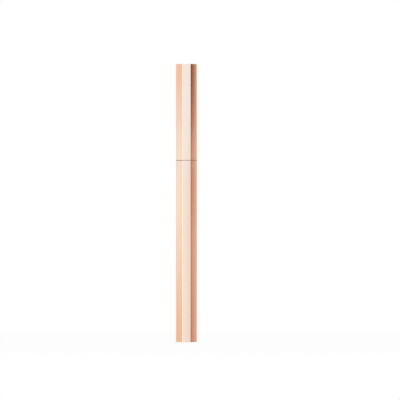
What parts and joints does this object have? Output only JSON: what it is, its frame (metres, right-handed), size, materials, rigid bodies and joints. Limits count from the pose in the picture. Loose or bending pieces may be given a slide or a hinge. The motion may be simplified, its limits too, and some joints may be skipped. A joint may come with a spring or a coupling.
{
  "type": "liquid eyeliner pen",
  "caption": "Octagonal liquid eyeliner pen in satin rose metal, with a pull-off cap, an ink tank with a stirring ball, a comb collector and a pointed filament brush.",
  "frame": {"origin": "centre of the barrel's flat closed end, on which the pen stands", "axes": "+Z along the pen from its base to the top of its cap, the way the cap pulls off; -Y square to the flat that faces the viewer; +X to the viewer's right"},
  "size_m": [0.0104, 0.0104, 0.139],
  "materials": {
    "anodised_metal": "satin anodised, pale rose gold, finely brushed along the length",
    "black_lining": "moulded, matt black",
    "natural_plastic": "moulded, undyed milky plastic",
    "ball_steel": "polished stainless steel",
    "feed_fibre": "bonded parallel fibres",
    "black_gloss": "polished moulded black",
    "brush_filament": "tapered filaments, black with ink"
  },
  "bodies": {
    "barrel": {"barrel_shell": "anodised_metal", "inner_barrel": "black_lining", "tail_plug": "natural_plastic", "collector": "natural_plastic", "feed_core": "feed_fibre", "joint_collar": "black_gloss", "section": "black_gloss", "nib_holder": "black_gloss", "brush": "brush_filament"},
    "stirring_ball": {"stirring_ball": "ball_steel"},
    "cap": {"cap_shell": "anodised_metal", "cap_liner": "black_lining", "inner_cap": "natural_plastic"}
  },
  "joints": [
    {"name": "cap_pull", "type": "slide", "parent": "barrel", "child": "cap", "axis": [0, 0, 1], "range_m": [0, 0.03]},
    {"name": "ball_slide", "type": "slide", "parent": "barrel", "child": "stirring_ball", "axis": [0, 0, 1], "range_m": [0, 0.0375]}
  ]
}
